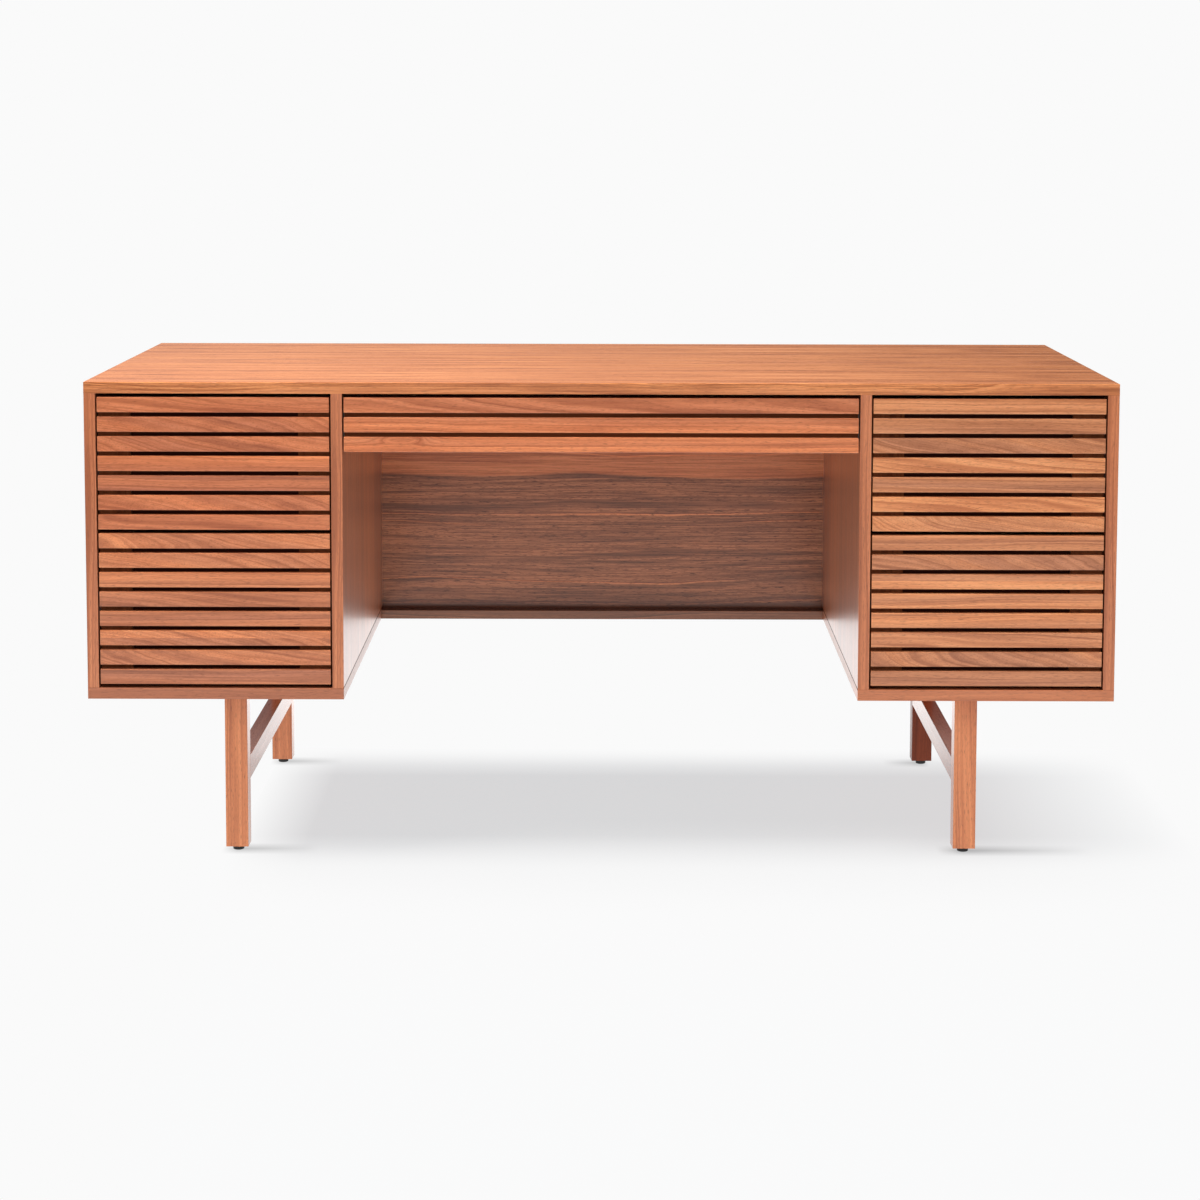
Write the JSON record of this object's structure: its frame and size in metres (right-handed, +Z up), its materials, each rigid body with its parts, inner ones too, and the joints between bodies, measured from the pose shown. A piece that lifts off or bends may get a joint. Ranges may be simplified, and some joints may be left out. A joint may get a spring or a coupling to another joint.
{
  "type": "executive desk",
  "caption": "Executive desk with slatted drawer pedestals either side of a kneehole, a shallow centre drawer, a modesty panel and square legs joined by side stretchers.",
  "frame": {"origin": "on the floor, under the middle of the desk", "axes": "+X to the sitter's right along the desk's width, +Y from the drawer fronts to the back, +Z up"},
  "size_m": [1.626, 0.762, 0.766],
  "materials": {
    "walnut_veneer": "satin lacquer",
    "solid_walnut": "satin lacquer",
    "drawer_box_wood": "thin clear lacquer",
    "beech_dowel": "bare, fluted",
    "runner_steel": "zinc plated",
    "bolt_steel": "zinc plated",
    "glide_plastic": "moulded, matte"
  },
  "bodies": {
    "desk_case": {"desk_top": "walnut_veneer", "dowels": "beech_dowel", "foot_glides": "glide_plastic", "front_left_leg": "solid_walnut", "front_right_leg": "solid_walnut", "kneehole_runners": "runner_steel", "left_back_panel": "walnut_veneer", "left_bottom_panel": "walnut_veneer", "left_inner_side": "walnut_veneer", "left_outer_side": "walnut_veneer", "left_pedestal_runners": "runner_steel", "left_stretcher": "solid_walnut", "leg_bolts": "bolt_steel", "modesty_panel": "walnut_veneer", "modesty_rail": "solid_walnut", "rear_left_leg": "solid_walnut", "rear_right_leg": "solid_walnut", "right_back_panel": "walnut_veneer", "right_bottom_panel": "walnut_veneer", "right_inner_side": "walnut_veneer", "right_outer_side": "walnut_veneer", "right_pedestal_runners": "runner_steel", "right_stretcher": "solid_walnut"},
    "left_upper_drawer": {"left_upper_drawer_box_bottom": "drawer_box_wood", "left_upper_drawer_box_ends": "drawer_box_wood", "left_upper_drawer_box_sides": "drawer_box_wood", "left_upper_drawer_runners": "runner_steel", "left_upper_drawer_slats": "solid_walnut", "left_upper_drawer_stiles": "solid_walnut"},
    "left_upper_drawer_middle_runners": {"left_upper_drawer_middle_runners": "runner_steel"},
    "left_lower_drawer": {"left_lower_drawer_box_bottom": "drawer_box_wood", "left_lower_drawer_box_ends": "drawer_box_wood", "left_lower_drawer_box_sides": "drawer_box_wood", "left_lower_drawer_runners": "runner_steel", "left_lower_drawer_slats": "solid_walnut", "left_lower_drawer_stiles": "solid_walnut"},
    "left_lower_drawer_middle_runners": {"left_lower_drawer_middle_runners": "runner_steel"},
    "right_upper_drawer": {"right_upper_drawer_box_bottom": "drawer_box_wood", "right_upper_drawer_box_ends": "drawer_box_wood", "right_upper_drawer_box_sides": "drawer_box_wood", "right_upper_drawer_runners": "runner_steel", "right_upper_drawer_slats": "solid_walnut", "right_upper_drawer_stiles": "solid_walnut"},
    "right_upper_drawer_middle_runners": {"right_upper_drawer_middle_runners": "runner_steel"},
    "right_lower_drawer": {"right_lower_drawer_box_bottom": "drawer_box_wood", "right_lower_drawer_box_ends": "drawer_box_wood", "right_lower_drawer_box_sides": "drawer_box_wood", "right_lower_drawer_runners": "runner_steel", "right_lower_drawer_slats": "solid_walnut", "right_lower_drawer_stiles": "solid_walnut"},
    "right_lower_drawer_middle_runners": {"right_lower_drawer_middle_runners": "runner_steel"},
    "centre_drawer": {"centre_drawer_box_back": "drawer_box_wood", "centre_drawer_box_bottom": "drawer_box_wood", "centre_drawer_box_sides": "drawer_box_wood", "centre_drawer_front_panel": "walnut_veneer", "centre_drawer_runners": "runner_steel", "centre_drawer_slats": "solid_walnut"},
    "centre_drawer_middle_runners": {"centre_drawer_middle_runners": "runner_steel"}
  },
  "joints": [
    {"name": "left_upper_drawer_slide", "type": "slide", "parent": "desk_case", "child": "left_upper_drawer", "axis": [0, -1, 0], "range_m": [0, 0.58]},
    {"name": "left_upper_drawer_middle_runner_slide", "type": "slide", "parent": "desk_case", "child": "left_upper_drawer_middle_runners", "axis": [0, -1, 0], "range_m": [0, 0.29]},
    {"name": "left_lower_drawer_slide", "type": "slide", "parent": "desk_case", "child": "left_lower_drawer", "axis": [0, -1, 0], "range_m": [0, 0.58]},
    {"name": "left_lower_drawer_middle_runner_slide", "type": "slide", "parent": "desk_case", "child": "left_lower_drawer_middle_runners", "axis": [0, -1, 0], "range_m": [0, 0.29]},
    {"name": "right_upper_drawer_slide", "type": "slide", "parent": "desk_case", "child": "right_upper_drawer", "axis": [0, -1, 0], "range_m": [0, 0.58]},
    {"name": "right_upper_drawer_middle_runner_slide", "type": "slide", "parent": "desk_case", "child": "right_upper_drawer_middle_runners", "axis": [0, -1, 0], "range_m": [0, 0.29]},
    {"name": "right_lower_drawer_slide", "type": "slide", "parent": "desk_case", "child": "right_lower_drawer", "axis": [0, -1, 0], "range_m": [0, 0.58]},
    {"name": "right_lower_drawer_middle_runner_slide", "type": "slide", "parent": "desk_case", "child": "right_lower_drawer_middle_runners", "axis": [0, -1, 0], "range_m": [0, 0.29]},
    {"name": "centre_drawer_slide", "type": "slide", "parent": "desk_case", "child": "centre_drawer", "axis": [0, -1, 0], "range_m": [0, 0.43]},
    {"name": "centre_drawer_middle_runner_slide", "type": "slide", "parent": "desk_case", "child": "centre_drawer_middle_runners", "axis": [0, -1, 0], "range_m": [0, 0.215]}
  ],
  "couplings": [
    {"joint": "left_upper_drawer_middle_runner_slide", "follows": "left_upper_drawer_slide", "ratio": 0.5},
    {"joint": "left_lower_drawer_middle_runner_slide", "follows": "left_lower_drawer_slide", "ratio": 0.5},
    {"joint": "right_upper_drawer_middle_runner_slide", "follows": "right_upper_drawer_slide", "ratio": 0.5},
    {"joint": "right_lower_drawer_middle_runner_slide", "follows": "right_lower_drawer_slide", "ratio": 0.5},
    {"joint": "centre_drawer_middle_runner_slide", "follows": "centre_drawer_slide", "ratio": 0.5}
  ]
}
